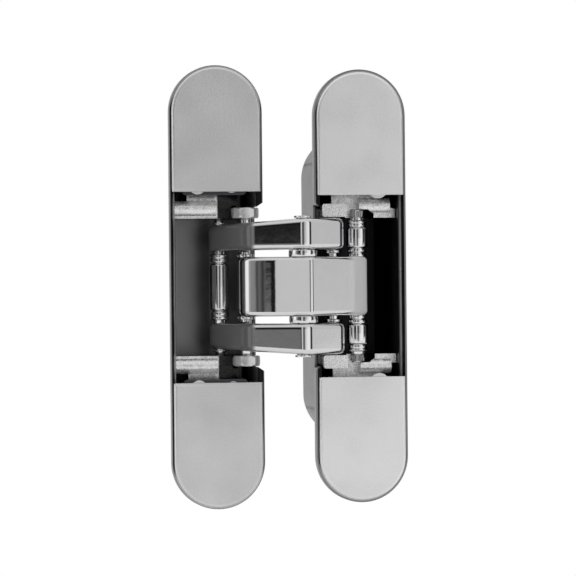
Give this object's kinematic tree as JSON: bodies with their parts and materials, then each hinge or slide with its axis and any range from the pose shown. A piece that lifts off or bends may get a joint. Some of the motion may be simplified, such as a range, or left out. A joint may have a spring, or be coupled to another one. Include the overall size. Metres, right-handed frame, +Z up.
{
  "type": "concealed invisible door hinge",
  "caption": "Concealed door hinge with two mortised round-ended leaves joined by bent folding arms on a centre pin; opens to 180 degrees.",
  "frame": {"origin": "centre of the frame leaf's four fixing holes, on the back face of its flange", "axes": "+X from the frame leaf to the door leaf, +Y into the mortise, away from the visible faces, +Z up along the pins"},
  "size_m": [0.0768, 0.0411, 0.142],
  "materials": {
    "satin_cover": "satin chrome, fine grain",
    "cast_case": "die-cast, satin chrome plated",
    "arm_casting": "die-cast, satin chrome plated",
    "carriage_casting": "rough cast, chrome plated",
    "bright_steel": "turned and polished",
    "grey_bush": "grey low-friction bush",
    "screw_steel": "zinc plated"
  },
  "bodies": {
    "frame_leaf": {"frame_adjusting_screws": "screw_steel", "frame_carriage_lower": "carriage_casting", "frame_carriage_upper": "carriage_casting", "frame_clamp_plate_lower": "screw_steel", "frame_clamp_plate_upper": "screw_steel", "frame_cover_lower": "satin_cover", "frame_cover_upper": "satin_cover", "frame_hex_bushes": "bright_steel", "frame_housing": "cast_case", "frame_lock_screws": "screw_steel", "frame_pivot_pin": "bright_steel"},
    "central_link": {"central_arm": "arm_casting", "frame_pivot_washers": "bright_steel", "centre_pin": "bright_steel", "centre_washers": "bright_steel", "door_tip_pin": "bright_steel", "door_tip_barrels": "bright_steel", "door_tip_collars": "bright_steel", "door_guide_bushes": "grey_bush"},
    "outer_link": {"outer_arm_upper": "arm_casting", "outer_arm_lower": "arm_casting", "frame_tip_pin": "bright_steel", "frame_tip_barrel": "bright_steel", "frame_tip_collars": "bright_steel", "frame_guide_bushes": "grey_bush", "door_pivot_washers": "bright_steel"},
    "door_leaf": {"door_adjusting_screws": "screw_steel", "door_carriage_lower": "carriage_casting", "door_carriage_upper": "carriage_casting", "door_clamp_plate_lower": "screw_steel", "door_clamp_plate_upper": "screw_steel", "door_cover_lower": "satin_cover", "door_cover_upper": "satin_cover", "door_housing": "cast_case", "door_lock_screws": "screw_steel", "door_pivot_pin": "bright_steel"}
  },
  "joints": [
    {"name": "frame_pivot_turn", "type": "hinge", "parent": "frame_leaf", "child": "central_link", "pos_m": [0.0102, 0.003, 0], "axis": [0, 0, -1], "range_deg": [0, 113.95]},
    {"name": "centre_pin_turn", "type": "hinge", "parent": "central_link", "child": "outer_link", "pos_m": [0.0266, -0.0105, 0], "axis": [0, 0, 1], "range_deg": [-0.01, 26.91]},
    {"name": "door_pivot_turn", "type": "hinge", "parent": "outer_link", "child": "door_leaf", "pos_m": [0.0392, 0.00528, 0], "axis": [0, 0, -1], "range_deg": [-0.01, 92.96]}
  ],
  "couplings": [
    {"joint": "centre_pin_turn", "follows": "frame_pivot_turn", "ratio": 0.23597},
    {"joint": "door_pivot_turn", "follows": "frame_pivot_turn", "ratio": 0.81558}
  ]
}
